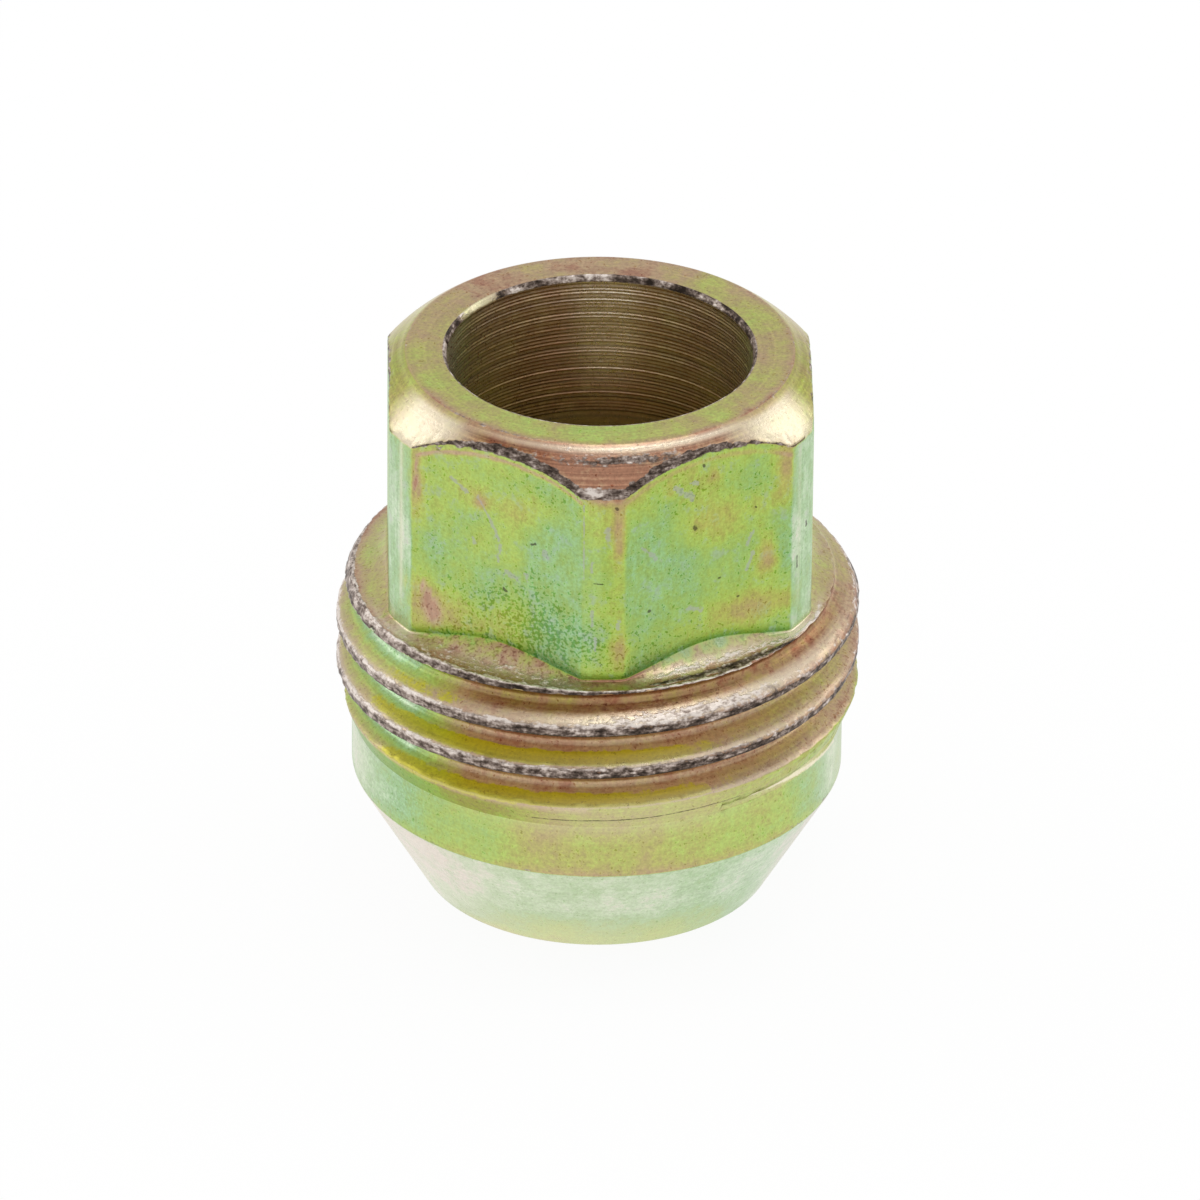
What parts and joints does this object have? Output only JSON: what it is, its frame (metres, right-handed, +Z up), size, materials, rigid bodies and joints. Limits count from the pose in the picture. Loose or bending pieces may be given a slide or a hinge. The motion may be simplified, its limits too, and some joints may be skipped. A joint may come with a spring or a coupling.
{
  "type": "lug nut",
  "caption": "Open wheel nut with a crowned hexagon, a coarse outer cap thread on its flange, a 60 degree cone seat and a counterbored stud hole, in yellow zinc plating.",
  "frame": {"origin": "centre of the seat end, the flat ring at the small end of the cone", "axes": "+Z up the nut's axis towards the crowned end of the hexagon; one corner of the hexagon faces -Y"},
  "size_m": [0.0274, 0.0274, 0.0306],
  "materials": {
    "zinc_plated_steel": "iridescent yellow zinc plating over forged and turned steel, green to olive with copper and pink bands, scuffed bright on the edges"
  },
  "bodies": {
    "root": {"lug_nut": "zinc_plated_steel"}
  },
  "joints": []
}
